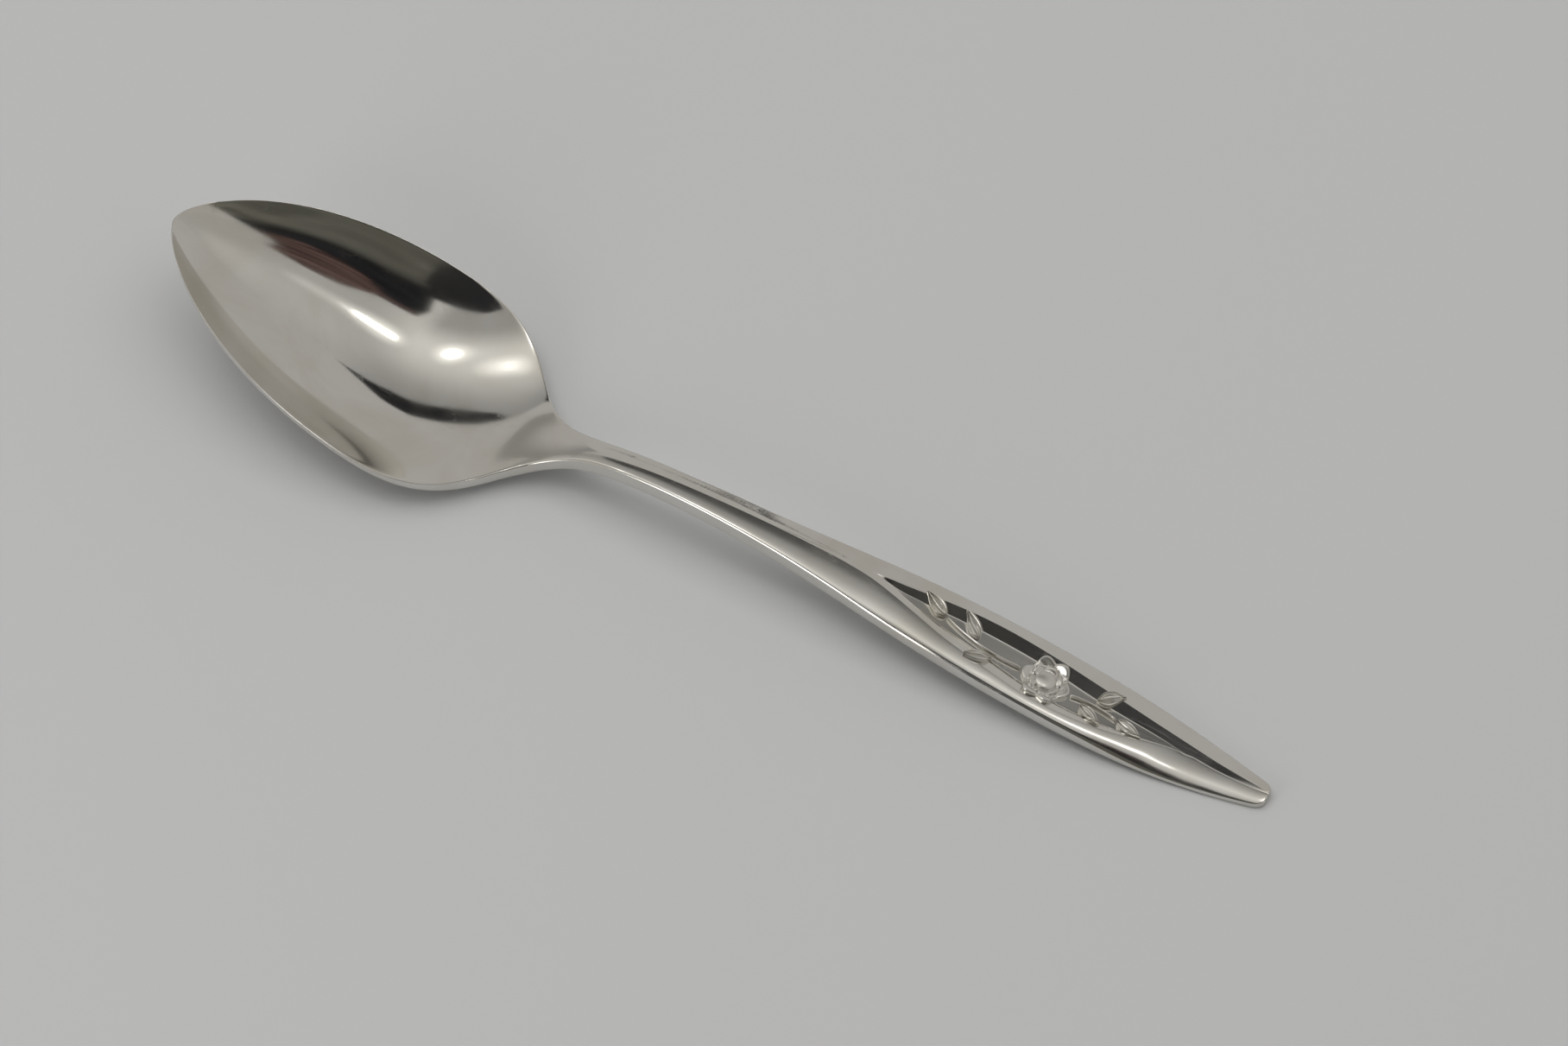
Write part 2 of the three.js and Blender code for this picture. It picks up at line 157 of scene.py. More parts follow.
# Cage of the spoon before it is smoothed
TIP_ROW_AT = 2.25
TIP_ROWS_FADE = 20
END_ROWS_FADE = 108
BOWL_ROWS = 36
BOWL_ROW_SPREAD = 1.25
HANDLE_ROWS = [(73, 17), (110, 50)]
END_ROWS = 8
RIM_ROUNDING = [(36, 0.16), (108, 0.16), (114, 0.1)]
NEAR_ROUNDING = [(36, 0.16), (50, 0.2), (62, 0.26), (76, 0.34), (82, 0.36), (90, 0.3), (106, 0.26),
                 (112, 0.14), (115, 0.1)]
ROUNDING_STEPS = 2
SMOOTHING = 2
NECK_BLEND = (41, 50)

# Shares of the way between two neighbouring lines at which the handle's cage has columns
NEAR_SHARES = (0, 0.3, 0.52, 0.72, 0.88, 0.97)
STRIP_SHARES = (0, 0.08, 0.6)
NEAR_WALL_SHARES = (0, 0.5)
FLOOR_SHARES = (0, 0.06, 0.37, 0.63, 0.96)
FAR_WALL_SHARES = (0, 0.06, 0.5, 0.94)
FAR_SHARES = (0, 0.07, 0.45, 0.72, 1)
COLUMN_SHARES = (NEAR_SHARES, STRIP_SHARES, NEAR_WALL_SHARES, FLOOR_SHARES, FAR_WALL_SHARES, FAR_SHARES)


# Reading sizes along the spoon

def curve_chain(*pieces):
    """Points along joined cubic curves; each piece gives its four guiding points."""
    t = np.linspace(0, 1, CURVE_STEPS)[:, None]
    weights = ((1 - t) ** 3, 3 * (1 - t) ** 2 * t, 3 * (1 - t) * t ** 2, t ** 3)
    return np.vstack([sum(w * np.array(p, float) for w, p in zip(weights, piece)) for piece in pieces])


def read(curve, distance):
    return np.interp(distance, curve[:, 0], curve[:, 1])


def smooth_step(start, end, distance):
    t = np.clip((distance - start) / (end - start), 0, 1)
    return t * t * (3 - 2 * t)


def mix(low, high, share):
    return low + (high - low) * share


def ease(stations, distance):
    """Eases a size from one station to the next, level at each of them."""
    size = np.full(np.shape(distance), float(stations[0][1]))
    for (start, first), (end, second) in zip(stations, stations[1:]):
        size = np.where(distance > start, mix(first, second, smooth_step(start, end, distance)), size)
    return size


def flow(stations, distance):
    """A smooth line through the stations, with the slope at each taken from its neighbours."""
    places, sizes = np.array(stations, float).T
    slopes = np.gradient(sizes, places)
    index = np.clip(np.searchsorted(places, distance) - 1, 0, len(places) - 2)
    run = places[index + 1] - places[index]
    t = np.clip((distance - places[index]) / run, 0, 1)
    return (mix(sizes[index], sizes[index + 1], t * t * (3 - 2 * t))
            + run * (slopes[index] * t * (1 - t) ** 2 - slopes[index + 1] * t * t * (1 - t)))


# Shape of the spoon

END_CORNER_AT = SPOON_LENGTH - END_CORNER
FRONT_OUTLINE = [(0, 0), (0, TIP_FULLNESS), (BOWL_WIDEST_AT - FRONT_TAPER, HALF_BOWL),
                 (BOWL_WIDEST_AT, HALF_BOWL)]
CORNER_OUTLINE = [(END_CORNER_AT, HALF_END), (SPOON_LENGTH - END_CORNER / 2, HALF_END - END_CORNER / 4),
                  (SPOON_LENGTH, HALF_END - END_CORNER / 2), (SPOON_LENGTH, HALF_END - END_CORNER)]
outline = curve_chain(
    FRONT_OUTLINE,
    [FRONT_OUTLINE[-1], (BOWL_WIDEST_AT + SHOULDER_REACH, HALF_BOWL), (NECK_AT - NECK_SWEEP, HALF_NECK),
     (NECK_AT, HALF_NECK)],
    [(NECK_AT, HALF_NECK), (NECK_AT + HANDLE_SWELL_START, HALF_NECK),
     (HANDLE_WIDEST_AT - HANDLE_SWELL_END, HALF_HANDLE), (HANDLE_WIDEST_AT, HALF_HANDLE)],
    [(HANDLE_WIDEST_AT, HALF_HANDLE), (HANDLE_WIDEST_AT + HANDLE_TAPER, HALF_HANDLE),
     (END_CORNER_AT - END_TAPER, HALF_END + END_SPREAD), CORNER_OUTLINE[0]],
    CORNER_OUTLINE,
)
edge_line = curve_chain(
    [(0, TIP_HEIGHT), (TIP_LEVEL_RUN, TIP_HEIGHT), (SHOULDER_AT - SHOULDER_FALL_RUN, SHOULDER_HEIGHT),
     (SHOULDER_AT, SHOULDER_HEIGHT)],
    [(SHOULDER_AT, SHOULDER_HEIGHT), (SHOULDER_AT + SHOULDER_RISE_RUN, SHOULDER_HEIGHT),
     (ARCH_AT - ARCH_RISE_RUN, ARCH_HEIGHT), (ARCH_AT, ARCH_HEIGHT)],
    [(ARCH_AT, ARCH_HEIGHT), (ARCH_AT + ARCH_FALL_RUN, ARCH_HEIGHT),
     (SPOON_LENGTH - END_LEVEL_RUN, END_HEIGHT - END_DIP), (SPOON_LENGTH, END_HEIGHT)],
)


def half_width(distance):
    return np.maximum(read(outline, distance), LEAST_HALF_WIDTH)


def edge_height(distance):
    return read(edge_line, distance)


def edge_thickness(distance):
    return ease([(BOWL_WIDEST_AT, RIM_EDGE), (NECK_AT, NECK_EDGE), (HANDLE_WIDEST_AT, HANDLE_EDGE),
                 (SPOON_LENGTH, END_EDGE)], distance)


def underside_height(distance):
    return edge_height(distance) - edge_thickness(distance) - UNDERSIDE_CROWN


neck_under = float(underside_height(NECK_AT))
neck_slope = float(underside_height(NECK_AT + 1) - underside_height(NECK_AT - 1)) / 2
belly_line = curve_chain(
    [(0, TIP_HEIGHT - RIM_EDGE), (TIP_UNDERCUT_RUN, TIP_HEIGHT - RIM_EDGE - TIP_UNDERCUT_DROP),
     (BELLY_AT - BELLY_FRONT_RUN, 0), (BELLY_AT, 0)],
    [(BELLY_AT, 0), (BELLY_AT + BELLY_BACK_RUN, 0),
     (NECK_AT - NECK_UNDER_RUN, neck_under - NECK_UNDER_RUN * neck_slope), (NECK_AT, neck_under)],
)


def keel_height(distance):
    return np.where(distance < NECK_AT, read(belly_line, distance), underside_height(distance))


def bowl_height(distance, offset):
    """Upper face of the bowl, deepest on the middle line and rising to the rim."""
    neck_thickness = NECK_EDGE + NECK_CREST + UNDERSIDE_CROWN
    middle = keel_height(distance) + ease(
        [(0, RIM_EDGE), FRONT_THICKNESS, (BELLY_AT, FLOOR_THICKNESS), (SHOULDER_AT, SHOULDER_THICKNESS),
         (NECK_AT, neck_thickness)], distance)
    roundness = ease([(BELLY_AT, BOWL_ROUNDNESS), (NECK_AT, NECK_ROUNDNESS)], distance)
    across = np.clip(np.abs(offset) / half_width(distance), 0, 1)
    return mix(middle, edge_height(distance), across ** roundness)


def panel_lines(distance):
    """Offsets of the ridge, the strip's edge, the feet of the near and far walls, and the far rim."""
    ridge = flow(RIDGE_LINE, distance)
    far_rim = flow(FAR_RIM_LINE, distance)
    far_foot = far_rim - flow(FAR_WALL, distance)
    strip_edge = np.minimum(ridge + flow(STRIP_WIDTH, distance), far_foot - 2 * LEAST_GAP)
    near_foot = np.minimum(strip_edge + flow(NEAR_WALL, distance), far_foot - LEAST_GAP)
    return ridge, strip_edge, near_foot, far_foot, far_rim


def floor_height(distance, offset):
    """Floor of the panel above the handle's edges; it falls slightly to the far side."""
    far_foot = panel_lines(distance)[3]
    return flow(PANEL_FLOOR, distance) + PANEL_TILT * (far_foot - offset)


def handle_height(distance, offset):
    """Upper face of the handle: rounded near side, ridge, strip, sunken panel and sloping far side."""
    half = half_width(distance)
    ridge, strip_edge, near_foot, far_foot, far_rim = panel_lines(distance)
    ridge_height = flow(RIDGE_HEIGHT, distance)
    run = ridge + half
    apart = np.clip((ridge - offset) / run, 0, 1)
    power = ease(NEAR_LATENESS, distance) + 1
    near_side = ridge_height + run * (ease(RIDGE_FALL, distance) * apart
                                      - ease(NEAR_TURN, distance) / power * apart ** power)
    strip_height = ridge_height - STRIP_SLOPE * (strip_edge - ridge)
    rim_height = floor_height(distance, far_foot) + FAR_WALL_SLOPE * (far_rim - far_foot)
    stops = [(ridge, ridge_height), (strip_edge, strip_height),
             (near_foot, floor_height(distance, near_foot)), (far_foot, floor_height(distance, far_foot)),
             (far_rim, rim_height), (half, 0)]
    far_side = ridge_height
    for (start, first), (end, second) in zip(stops, stops[1:]):
        share = np.clip((offset - start) / (end - start), 0, 1)
        far_side = np.where(offset > start, mix(first, second, share), far_side)
    plain_side = ridge_height * (half - offset) / (half - ridge)
    far_side = mix(plain_side, far_side, ease(PANEL_OPENING, distance))
    return edge_height(distance) + np.where(offset <= ridge, near_side, far_side)


def upper_height(distance, offset):
    share = smooth_step(*NECK_BLEND, distance)
    return mix(bowl_height(distance, offset), handle_height(distance, offset), share)


def lower_height(distance, offset):
    across = np.clip(np.abs(offset) / half_width(distance), 0, 1)
    low_edge = edge_height(distance) - edge_thickness(distance)
    return np.maximum(mix(keel_height(distance), low_edge, across ** UNDERSIDE_ROUNDNESS), 0)


def handle_columns(distance):
    """Offsets of the cage's columns at one place, as shares of the half width."""
    half = half_width(distance)
    lines = [-half, *panel_lines(distance), half]
    offsets = [mix(first, second, share)
               for first, second, shares in zip(lines, lines[1:], COLUMN_SHARES) for share in shares]
    return np.array(offsets) / half


def row_places():
    """Places of the cage's rows: closest at the tip, along the panel and at the handle's end."""
    spread = np.linspace(0, 1, BOWL_ROWS) ** BOWL_ROW_SPREAD
    places = [mix(TIP_ROW_AT, NECK_AT, spread)]
    for end, count in [*HANDLE_ROWS, (END_CORNER_AT, END_ROWS)]:
        places.append(np.linspace(places[-1][-1], end, count + 1)[1:])
    return np.concatenate(places)


def cage_points():
    """Rows of cage points across the spoon; the first and last rows follow its rounded ends."""
    bowl_columns = np.linspace(-1, 1, sum(len(shares) for shares in COLUMN_SHARES))
    front = curve_chain(FRONT_OUTLINE)
    corner = curve_chain(CORNER_OUTLINE)
    tip_offsets = np.abs(bowl_columns) * half_width(TIP_ROW_AT)
    tip_reach = TIP_ROW_AT - np.interp(tip_offsets, front[:, 1], front[:, 0])
    distances, offsets = [], []
    for place in row_places():
        share = mix(bowl_columns, handle_columns(place), smooth_step(SHOULDER_AT, NECK_BLEND[1], place))
        offset = share * half_width(place)
        end_reach = np.interp(-np.abs(offset), -corner[:, 1], corner[:, 0]) - END_CORNER_AT
        distances.append(place - tip_reach * (1 - smooth_step(TIP_ROW_AT, TIP_ROWS_FADE, place))
                         + end_reach * smooth_step(END_ROWS_FADE, END_CORNER_AT, place))
        offsets.append(offset)
    return np.array(distances), np.array(offsets)


# Modelling steps shared by the pieces

def finish_mode():
    if bpy.context.object and bpy.context.object.mode != "OBJECT":
        bpy.ops.object.mode_set(mode="OBJECT")


def start_piece():
    finish_mode()
    bpy.ops.object.select_all(action="DESELECT")


def make_active(piece):
    start_piece()
    piece.select_set(True)
    bpy.context.view_layer.objects.active = piece


def double_skin(name):
    """Doubles the flat sheet just added into an upper and a lower skin; tells which points are upper."""
    piece = bpy.context.object
    piece.name = name
    piece.data.name = name
    bpy.ops.object.mode_set(mode="EDIT")
    bpy.ops.mesh.select_all(action="SELECT")
    bpy.ops.mesh.extrude_region()
    bpy.ops.object.mode_set(mode="OBJECT")
    upper = np.array([vertex.select for vertex in piece.data.vertices])
    flat = np.array([vertex.co for vertex in piece.data.vertices])
    return piece, flat, upper


def grid_skin(name, rows, columns):
    """A double skin made from a grid, with the row and column of each point."""
    start_piece()
    bpy.ops.mesh.primitive_grid_add(x_subdivisions=rows - 1, y_subdivisions=columns - 1, size=1)
    piece, flat, upper = double_skin(name)
    row = np.rint((flat[:, 0] + 0.5) * (rows - 1)).astype(int)
    column = np.rint((flat[:, 1] + 0.5) * (columns - 1)).astype(int)
    return piece, row, column, upper


def place_points(piece, distance, offset, height):
    points = np.stack([distance - SPOON_LENGTH / 2, offset, height], axis=1) * MM
    piece.data.vertices.foreach_set("co", points.ravel())
    piece.data.update()
    make_active(piece)
    bpy.ops.object.mode_set(mode="EDIT")
    bpy.ops.mesh.select_all(action="SELECT")
    bpy.ops.mesh.normals_make_consistent(inside=False)
    bpy.ops.object.mode_set(mode="OBJECT")


def apply_modifier(piece, modifier):
    make_active(piece)
    bpy.ops.object.modifier_apply(modifier=modifier.name)


def round_rim(piece, rounding, upper):
    """Rounds the edges of both skins; rounding gives each point's width, and 0 inside the skins."""
    ends = np.zeros(len(piece.data.edges) * 2, np.int32)
    piece.data.edges.foreach_get("vertices", ends)
    first, second = ends.reshape(-1, 2).T
    on_rim = (rounding[first] > 0) & (rounding[second] > 0) & (upper[first] == upper[second])
    width = np.where(on_rim, (rounding[first] + rounding[second]) / 2, 0)
    weight = piece.data.attributes.new("bevel_weight_edge", "FLOAT", "EDGE")
    weight.data.foreach_set("value", (width / rounding.max()).astype(np.float32))
    bevel = piece.modifiers.new("rounding", "BEVEL")
    bevel.limit_method = "WEIGHT"
    bevel.width = rounding.max() * MM
    bevel.segments = ROUNDING_STEPS
    bevel.use_clamp_overlap = False
    apply_modifier(piece, bevel)


def smooth(piece, levels):
    subdivision = piece.modifiers.new("smoothing", "SUBSURF")
    subdivision.levels = levels
    subdivision.render_levels = levels
    apply_modifier(piece, subdivision)
    bpy.ops.object.shade_smooth()


# The spoon's body: one smooth cage, then cut at the neck into the bowl and the handle

def make_body():
    distances, offsets = cage_points()
    rows, columns = distances.shape
    piece, row, column, upper = grid_skin("spoon_body", rows, columns)
    distance = distances[row, column]
    offset = offsets[row, column]
    height = np.where(upper, upper_height(distance, offset), lower_height(distance, offset))
    place_points(piece, distance, offset, height)
    outer = (row == 0) | (row == rows - 1) | (column == 0) | (column == columns - 1)
    near_edge = upper & (column == 0)
    rounding = np.where(near_edge, ease(NEAR_ROUNDING, distance), ease(RIM_ROUNDING, distance))
    round_rim(piece, outer * rounding, upper)
    smooth(piece, SMOOTHING)
    shading = np.zeros(len(piece.data.vertices) * 3, np.float32)
    piece.data.vertex_normals.foreach_get("vector", shading)
    piece.data.attributes.new("shading", "FLOAT_VECTOR", "POINT").data.foreach_set("vector", shading)
    return piece


def cut_at_neck(body, name, keep_front):
    """A copy of one side of the body, closed at the neck, with the whole body's smooth shading."""
    make_active(body)
    bpy.ops.object.duplicate()
    piece = bpy.context.object
    piece.name = name
    piece.data.name = name
    bpy.ops.object.mode_set(mode="EDIT")
    bpy.ops.mesh.select_mode(type="FACE")
    bpy.ops.mesh.select_all(action="DESELECT")
    bpy.ops.object.mode_set(mode="OBJECT")
    for face in piece.data.polygons:
        face.select = (face.center.x > NECK_PLANE) == keep_front
    bpy.ops.object.mode_set(mode="EDIT")
    bpy.ops.mesh.delete(type="FACE")
    bpy.ops.mesh.select_mode(type="EDGE")
    bpy.ops.mesh.select_non_manifold()
    bpy.ops.mesh.edge_face_add()
    bpy.ops.object.mode_set(mode="OBJECT")
    shading = np.zeros(len(piece.data.vertices) * 3, np.float32)
    piece.data.attributes["shading"].data.foreach_get("vector", shading)
    piece.data.normals_split_custom_set_from_vertices(shading.reshape(-1, 3))
    piece.data.attributes.remove(piece.data.attributes["shading"])
    return piece


# Struck ornament

petals_low, petals_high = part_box("rosette_petals")
ROSETTE_AT = (petals_low.x + petals_high.x) / 2 / MM + SPOON_LENGTH / 2
ROSETTE_OFFSET = (petals_low.y + petals_high.y) / 2 / MM
ROSETTE_RADIUS = (petals_high.x - petals_low.x) / 2 / MM
PANEL_START = (75.5, 1.2)
PANEL_END_AT = 106.5
RELIEF_SEAT = 0.08
RELIEF_SMOOTHING = 1

# Stems and leaves
STEM_WIDTH = 0.4
STEM_BOW = 0.5
STEM_RISE = 0.5
STEM_THINNING = 0.35
STEM_FLATNESS = 2.4
STEM_ROWS = 15
STEM_COLUMNS = 5
SPRIG_LEAD = 4.5
LEAF_LENGTH = 2.7
LEAF_WIDTH = 1.15
LEAF_RISE = 0.7
LEAF_ANGLE = 28
LEAF_GAP = 0.12
LEAF_FULLNESS = 0.75
LEAF_POINT = 0.06
LEAF_GROOVE = 0.7
LEAF_ROWS = 17
LEAF_COLUMNS = 11

# Rosette: reaches are shares of its radius, rises are heights above the panel
PETALS = 6
PETAL_NOTCH = 0.16
PETAL_NOTCH_FROM = 0.3
PETAL_CREASE = 0.6
PETAL_STEP = 0.03
OUTER_PETAL_RISE = 0.26
OUTER_LIP_RISE = 0.26
OUTER_LIP = (0.62, 0.9)
OUTER_CREASE_SHARE = 0.45
INNER_PETAL_RISE = 0.46
INNER_LIP_RISE = 0.2
INNER_LIP = (0.42, 0.62)
INNER_CREASE_SHARE = 0.62
INNER_EDGE = (0.54, 0.7)
HEART_SHARE = 0.42
HEART_EDGE_RISE = 0.44
HEART_DOME_RISE = 0.34
ROSETTE_SPOKES = 96
ROSETTE_RINGS = 18

STEM_GAP = ROSETTE_RADIUS + LEAF_GAP
STEMS = {
    "front": [(ROSETTE_AT - STEM_GAP, ROSETTE_OFFSET),
              (ROSETTE_AT - STEM_GAP - SPRIG_LEAD, ROSETTE_OFFSET - STEM_BOW),
              (PANEL_START[0] + SPRIG_LEAD + LEAF_LENGTH, PANEL_START[1] - STEM_BOW)],
    "back": [(ROSETTE_AT + STEM_GAP, ROSETTE_OFFSET),
             (ROSETTE_AT + STEM_GAP + SPRIG_LEAD / 2, ROSETTE_OFFSET + STEM_BOW),
             (PANEL_END_AT - SPRIG_LEAD - LEAF_LENGTH / 2, ROSETTE_OFFSET)],
}

# Each leaf's stem, its place along the stem, and its side: 1 to the left, -1 to the right, 0 at the tip
LEAF_PLACES = [("front", 0.3, 1), ("front", 0.55, -1), ("front", 1, 0),
               ("back", 0.25, -1), ("back", 0.5, 1), ("back", 1, 0)]


def stem_point(stem, share):
    a, b, c = (np.array(point, float) for point in STEMS[stem])
    share = np.asarray(share, float)[..., None]
    return (1 - share) ** 2 * a + 2 * (1 - share) * share * b + share ** 2 * c


def stem_heading(stem, share):
    a, b, c = (np.array(point, float) for point in STEMS[stem])
    share = np.asarray(share, float)[..., None]
    heading = (1 - share) * (b - a) + share * (c - b)
    return heading / np.linalg.norm(heading, axis=-1, keepdims=True)


def square_to(heading):
    return np.stack([-heading[..., 1], heading[..., 0]], axis=-1)


def seat_relief(piece, place, rise, upper):
    """Sets a relief on the panel: upper points at their rise above it, lower ones sunk into it."""
    lift = np.where(upper, rise, -RELIEF_SEAT)
    distance, offset = place.T
    place_points(piece, distance, offset, handle_height(distance, offset) + lift)
    smooth(piece, RELIEF_SMOOTHING)
    return piece


def make_stem(stem):
    """A bowed stem, rounded across and thinner at its tip."""
    piece, row, column, upper = grid_skin(f"{stem}_stem", STEM_ROWS, STEM_COLUMNS)
    share = row / (STEM_ROWS - 1)
    side = 2 * column / (STEM_COLUMNS - 1) - 1
    width = STEM_WIDTH / 2 * (1 - STEM_THINNING * share)
    place = stem_point(stem, share) + square_to(stem_heading(stem, share)) * (side * width)[:, None]
    return seat_relief(piece, place, STEM_RISE * np.cos(side * math.pi / STEM_FLATNESS), upper)


def make_leaf(number, stem, share, side):
    """A pointed leaf with a raised vein and raised edges."""
    piece, row, column, upper = grid_skin(f"leaf_{number}", LEAF_ROWS, LEAF_COLUMNS)
    along = stem_heading(stem, share)
    turn = math.radians(LEAF_ANGLE) * side
    heading = np.array([along[0] * math.cos(turn) - along[1] * math.sin(turn),
                        along[0] * math.sin(turn) + along[1] * math.cos(turn)])
    base = (stem_point(stem, share) + square_to(along) * side * (STEM_WIDTH / 2 + LEAF_GAP + LEAF_WIDTH / 4)
            + along * (LEAF_GAP if side == 0 else 0))
    run = row / (LEAF_ROWS - 1)
    across = 2 * column / (LEAF_COLUMNS - 1) - 1
    width = LEAF_WIDTH / 2 * np.maximum(np.sin(math.pi * run ** LEAF_FULLNESS), LEAF_POINT)
    place = base + heading * (run * LEAF_LENGTH)[:, None] + square_to(heading) * (across * width)[:, None]
    rise = LEAF_RISE * (1 - LEAF_GROOVE * np.sin(math.pi * np.abs(across)))
    return seat_relief(piece, place, rise, upper)


def disc_skin(name):
    """A double skin made from a round face with rings let into it, with each point's reach and turn."""
    start_piece()
    bpy.ops.mesh.primitive_circle_add(vertices=ROSETTE_SPOKES, radius=1, fill_type="NGON")
    bpy.ops.object.mode_set(mode="EDIT")
    bpy.ops.mesh.select_mode(type="FACE")
    bpy.ops.mesh.select_all(action="SELECT")
    for _ in range(ROSETTE_RINGS - 1):
        bpy.ops.mesh.inset(thickness=1 / ROSETTE_RINGS)
    bpy.ops.object.mode_set(mode="OBJECT")
    piece, flat, upper = double_skin(name)
    return piece, np.hypot(flat[:, 0], flat[:, 1]), np.arctan2(flat[:, 1], flat[:, 0]), upper


def around_rosette(distance, turn):
    return np.stack([ROSETTE_AT + distance * np.cos(turn), ROSETTE_OFFSET + distance * np.sin(turn)], axis=1)


def make_petals():
    """Six outer petals with raised lips, and six smaller ones laid between them."""
    piece, reach, turn, upper = disc_skin("rosette_petals")
    lobe = np.cos(PETALS * turn)
    notch = PETAL_NOTCH * (0.5 - 0.5 * lobe) * smooth_step(PETAL_NOTCH_FROM, 1, reach)
    place = around_rosette(ROSETTE_RADIUS * (1 - notch) * reach, turn)
    outer_crease = np.abs(np.cos(PETALS * turn / 2)) ** PETAL_CREASE
    inner_crease = np.abs(np.sin(PETALS * turn / 2)) ** PETAL_CREASE
    outer = OUTER_PETAL_RISE + OUTER_LIP_RISE * smooth_step(*OUTER_LIP, reach)
    inner = INNER_PETAL_RISE + INNER_LIP_RISE * smooth_step(*INNER_LIP, reach)
    outer = outer * mix(OUTER_CREASE_SHARE, 1, outer_crease)
    inner = inner * mix(INNER_CREASE_SHARE, 1, inner_crease)
    inner_edge = mix(*INNER_EDGE, inner_crease)
    rise = mix(inner, outer, smooth_step(-PETAL_STEP, PETAL_STEP, reach - inner_edge))
    return seat_relief(piece, place, rise, upper)


def make_heart():
    """A domed heart."""
    piece, reach, turn, upper = disc_skin("rosette_heart")
    dome = HEART_EDGE_RISE + HEART_DOME_RISE * np.sqrt(np.clip(1 - reach ** 2, 0, 1))
    return seat_relief(piece, around_rosette(ROSETTE_RADIUS * HEART_SHARE * reach, turn), dome, upper)


# Materials

STEEL_COLOUR = (0.72, 0.705, 0.67, 1)
TARNISH_COLOUR = (0.66, 0.635, 0.58, 1)
BOWL_GLOSS = 0.075
HANDLE_GLOSS = 0.15
RELIEF_GLOSS = 0.25
RELIEF_GLOSS_RISE = 0.04
GLOSS_FADE = (-0.008, 0.01)
SCRATCH_FINENESS = 900.0
SCRATCH_WIDTH = 0.006
SCRATCH_TURNS = ((0.35, 0.05), (1.2, 0.08), (2.3, 0.06))
SCRATCH_PATCHES = 260.0
SCRATCH_PATCH_EDGE = (0.48, 0.62)
SCRATCH_ROUGHNESS = 0.06
SCRATCH_STRENGTH = 0.015
SCRATCH_DEPTH = 0.00001
SMUDGE_SIZE = 140.0
SMUDGE_SWIRL = 0.6
SMUDGE_EDGE = (0.42, 0.72)
SMUDGE_ROUGHNESS = 0.05


def new_group(name, inputs, outputs):
    """An empty shader group with plain number sockets; returns it with its two ends."""
    group = bpy.data.node_groups.new(name, "ShaderNodeTree")
    new_socket = group.interface.new_socket
    for socket, value in inputs.items():
        new_socket(name=socket, in_out="INPUT", socket_type="NodeSocketFloat").default_value = value
    for socket in outputs:
        new_socket(name=socket, in_out="OUTPUT", socket_type="NodeSocketFloat")
    return group, group.nodes.new("NodeGroupInput"), group.nodes.new("NodeGroupOutput")


def add_node(tree, kind, links=(), **settings):
    """Adds a node, sets its options and inputs by name, and links sockets into it."""
    node = tree.nodes.new(kind)
    for key, value in settings.items():
        setattr(node, key, value)
    for socket, source in dict(links).items():
        if isinstance(source, bpy.types.NodeSocket):
            tree.links.new(source, node.inputs[socket])
        else:
            node.inputs[socket].default_value = source
    return node


def math_node(tree, operation, first, second=0.0):
    return add_node(tree, "ShaderNodeMath", {0: first, 1: second}, operation=operation).outputs[0]


def map_range(tree, value, start, end, low=0.0, high=1.0, kind="LINEAR"):
    """Turns a value that runs from start to end into one that runs from low to high."""
    stops = {"Value": value, "From Min": start, "From Max": end, "To Min": low, "To Max": high}
    return add_node(tree, "ShaderNodeMapRange", stops, interpolation_type=kind).outputs[0]


def object_place(tree):
    return add_node(tree, "ShaderNodeTexCoord").outputs["Object"]


def scratch_group():
    """Fine hairlines in three directions, broken up into patches."""
    sizes = {"Fineness": SCRATCH_FINENESS, "Width": SCRATCH_WIDTH}
    group, start, end = new_group("hairline_scratches", sizes, ["Mask"])
    place = object_place(group)
    masks = []
    for turn, stretch in SCRATCH_TURNS:
        turned = add_node(group, "ShaderNodeMapping", {"Vector": place, "Rotation": (0, 0, turn),
                                                       "Scale": (stretch, 1, 1)})
        noise = add_node(group, "ShaderNodeTexNoise", {"Vector": turned.outputs[0], "Detail": 1.0,
                                                       "Scale": start.outputs["Fineness"]})
        off = math_node(group, "ABSOLUTE", math_node(group, "SUBTRACT", noise.outputs["Fac"], 0.5))
        masks.append(math_node(group, "LESS_THAN", off, start.outputs["Width"]))
    patches = add_node(group, "ShaderNodeTexNoise", {"Vector": place, "Detail": 2.0,
                                                     "Scale": SCRATCH_PATCHES})
    broken = map_range(group, patches.outputs["Fac"], *SCRATCH_PATCH_EDGE)
    joined = math_node(group, "MAXIMUM", math_node(group, "MAXIMUM", masks[0], masks[1]), masks[2])
    group.links.new(math_node(group, "MULTIPLY", joined, broken), end.inputs["Mask"])
    return group


def smudge_group():
    """Soft clouds left by handling and drying water."""
    group, start, end = new_group("handling_smudges", {"Size": SMUDGE_SIZE}, ["Mask"])
    cloud = add_node(group, "ShaderNodeTexNoise", {"Vector": object_place(group), "Detail": 4.0,
                                                   "Scale": start.outputs["Size"],
                                                   "Distortion": SMUDGE_SWIRL})
    group.links.new(map_range(group, cloud.outputs["Fac"], *SMUDGE_EDGE), end.inputs["Mask"])
    return group


